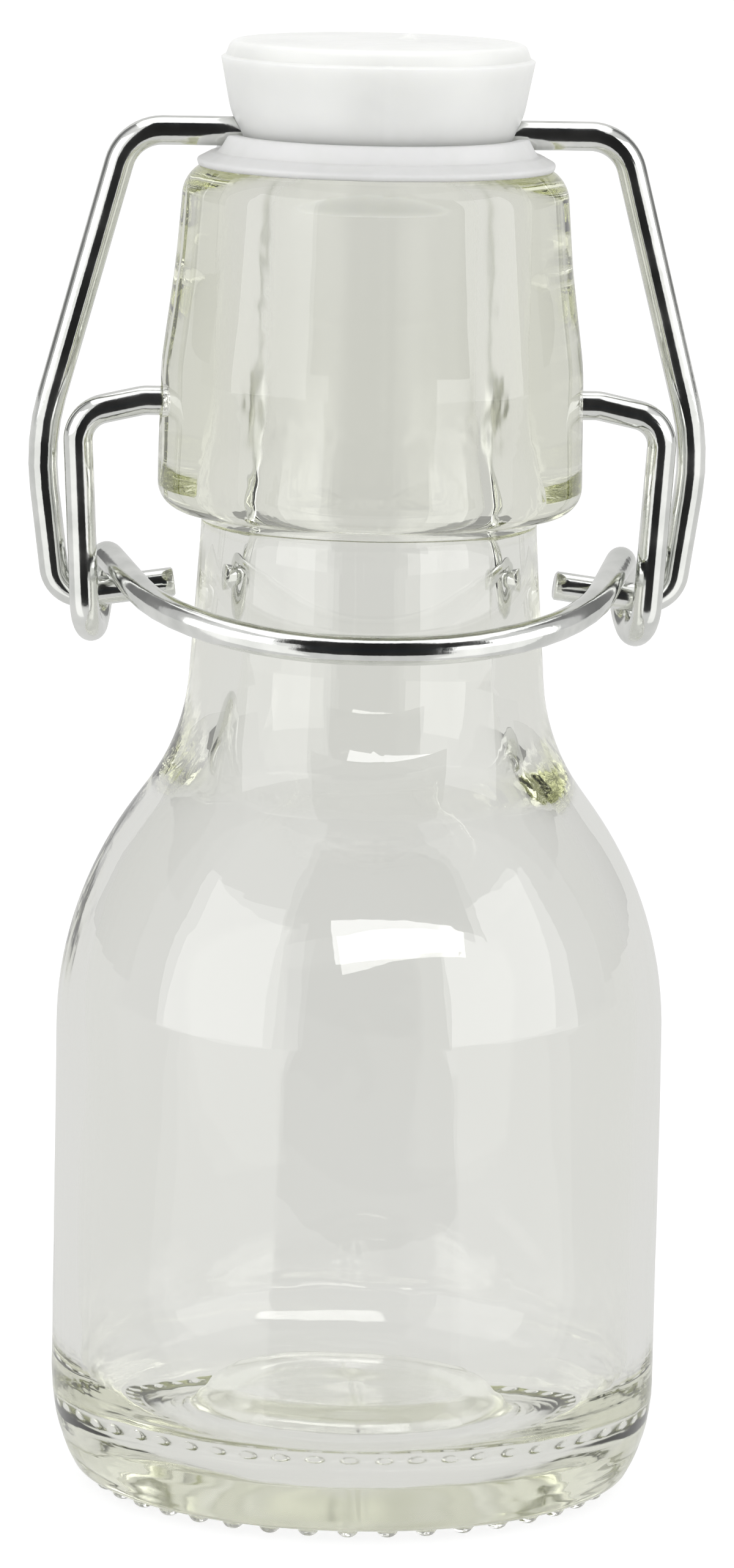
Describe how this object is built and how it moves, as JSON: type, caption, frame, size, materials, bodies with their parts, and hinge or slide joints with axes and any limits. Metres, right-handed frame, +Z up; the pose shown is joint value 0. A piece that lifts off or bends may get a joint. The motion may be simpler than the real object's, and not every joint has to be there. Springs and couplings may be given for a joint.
{
  "type": "swing-top bottle",
  "caption": "Small clear-glass swing-top bottle with a white plastic stopper, a soft seal and a wire closure that lifts the stopper off the mouth.",
  "frame": {"origin": "centre of the base, in the plane that the bottle stands on", "axes": "+Z up along the bottle's axis, -Y towards the lever's handle, X along the two pivots"},
  "size_m": [0.0558, 0.05, 0.1195],
  "materials": {
    "bottle_glass": "clear, fire-polished",
    "stopper_plastic": "milky, satin moulded",
    "seal_rubber": "soft, translucent",
    "wire_steel": "bright drawn wire"
  },
  "bodies": {
    "bottle": {"glass_bottle": "bottle_glass"},
    "lever": {"lever_wire": "wire_steel"},
    "bail": {"bail_wire": "wire_steel"},
    "closure": {"stopper": "stopper_plastic", "seal_ring": "seal_rubber"}
  },
  "joints": [
    {"name": "lever_swing", "type": "hinge", "parent": "bottle", "child": "lever", "pos_m": [0, 0, 0.0896], "axis": [-1, 0, 0], "range_deg": [0, 85]},
    {"name": "bail_swing", "type": "hinge", "parent": "lever", "child": "bail", "pos_m": [0, 0.0043, 0.0733], "axis": [-1, 0, 0], "range_deg": [-49, 0]},
    {"name": "stopper_tilt", "type": "hinge", "parent": "bail", "child": "closure", "pos_m": [0, 0, 0.1116], "axis": [-1, 0, 0], "range_deg": [-37, 0]}
  ],
  "couplings": [
    {"joint": "bail_swing", "follows": "lever_swing", "ratio": -0.57},
    {"joint": "stopper_tilt", "follows": "lever_swing", "ratio": -0.43}
  ]
}
